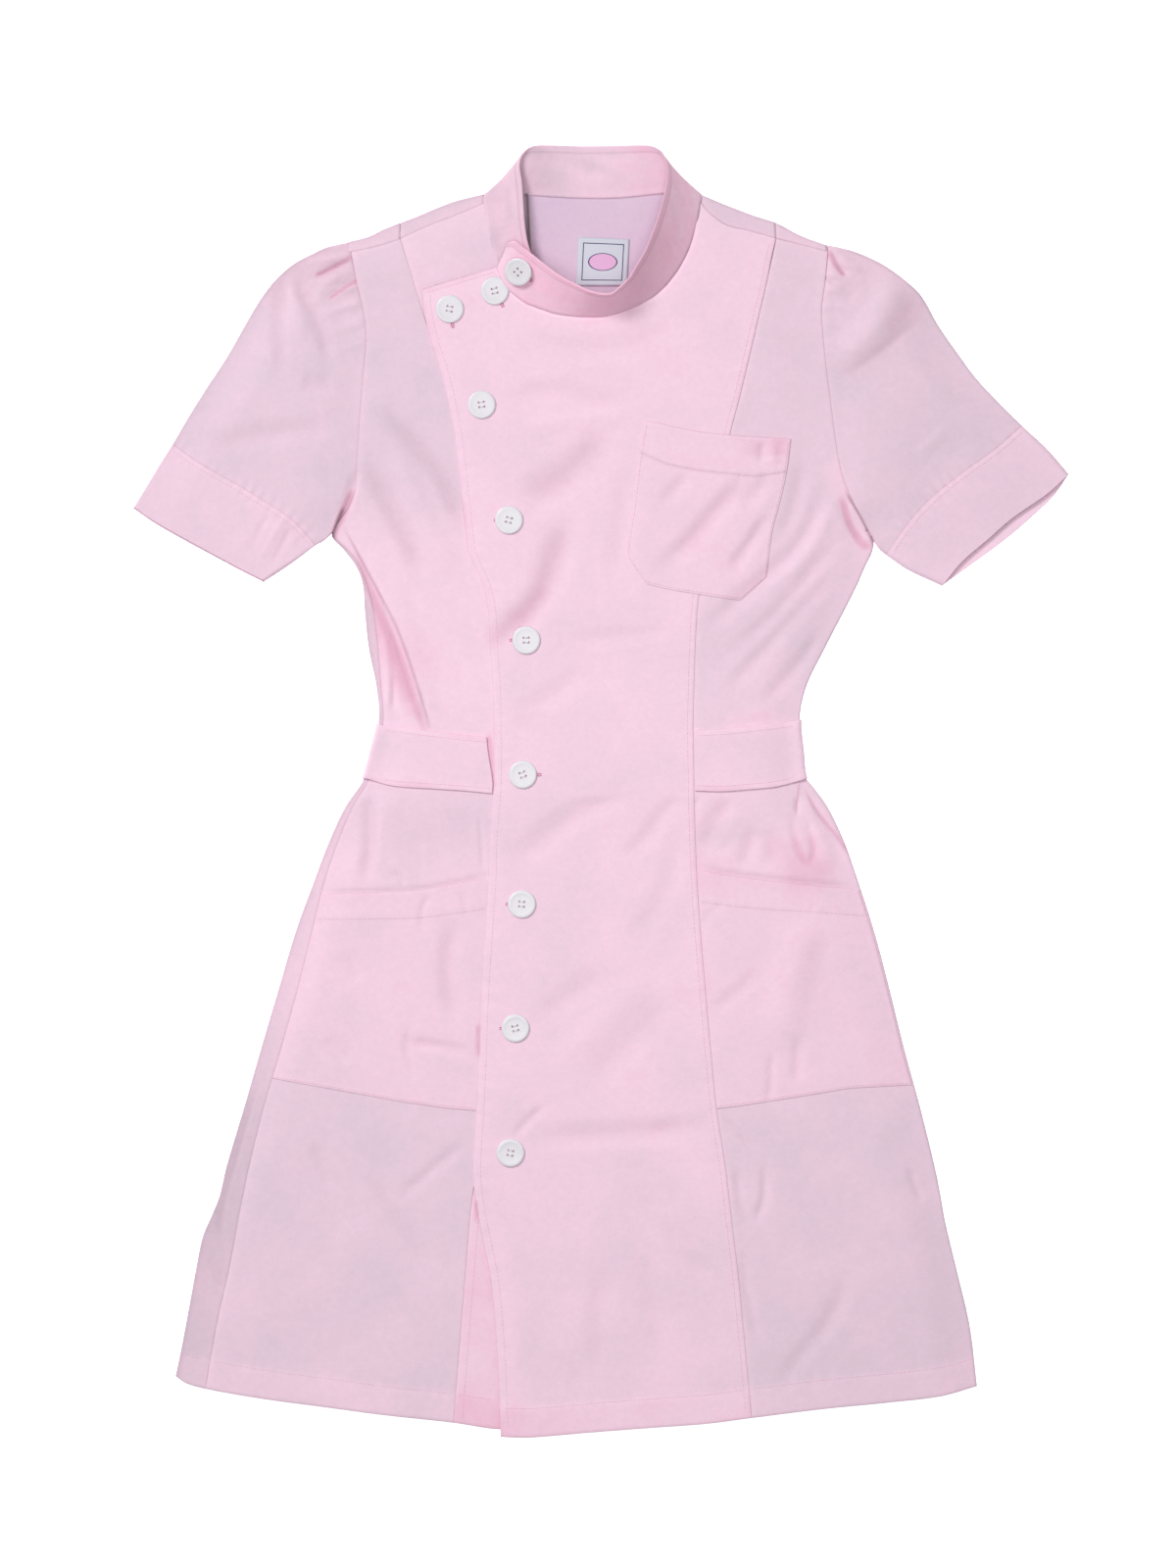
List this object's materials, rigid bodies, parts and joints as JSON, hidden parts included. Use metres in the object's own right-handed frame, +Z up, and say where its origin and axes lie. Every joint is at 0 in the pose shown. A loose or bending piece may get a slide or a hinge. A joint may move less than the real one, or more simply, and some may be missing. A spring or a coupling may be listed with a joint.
{
  "type": "nurse uniform dress",
  "caption": "Short-sleeved nurse uniform dress laid flat, with a side-buttoned front, stand collar, belt and patch pockets.",
  "frame": {"origin": "on the surface under the middle of the laid-out dress, at the centre of its outline's box", "axes": "+Z up out of the front of the dress, +Y from the hem towards the collar, +X to the right as seen (the wearer's left)"},
  "size_m": [0.6792, 0.9356, 0.0339],
  "materials": {
    "twill": "matt pale pink cotton twill",
    "button_plastic": "glossy white",
    "label_weave": null
  },
  "bodies": {
    "root": {"front_flap": "twill", "front_underlap": "twill", "side_front_left": "twill", "side_front_right": "twill", "back_center": "twill", "side_back_left": "twill", "side_back_right": "twill", "sleeve_left": "twill", "sleeve_right": "twill", "cuff_left": "twill", "cuff_right": "twill", "collar": "twill", "breast_pocket": "twill", "hip_pocket_left": "twill", "hip_pocket_right": "twill", "belt": "twill", "neck_label": "label_weave", "button_01": "button_plastic", "button_02": "button_plastic", "button_03": "button_plastic", "button_04": "button_plastic", "button_05": "button_plastic", "button_06": "button_plastic", "button_07": "button_plastic", "button_08": "button_plastic", "button_09": "button_plastic", "button_10": "button_plastic"}
  },
  "joints": []
}
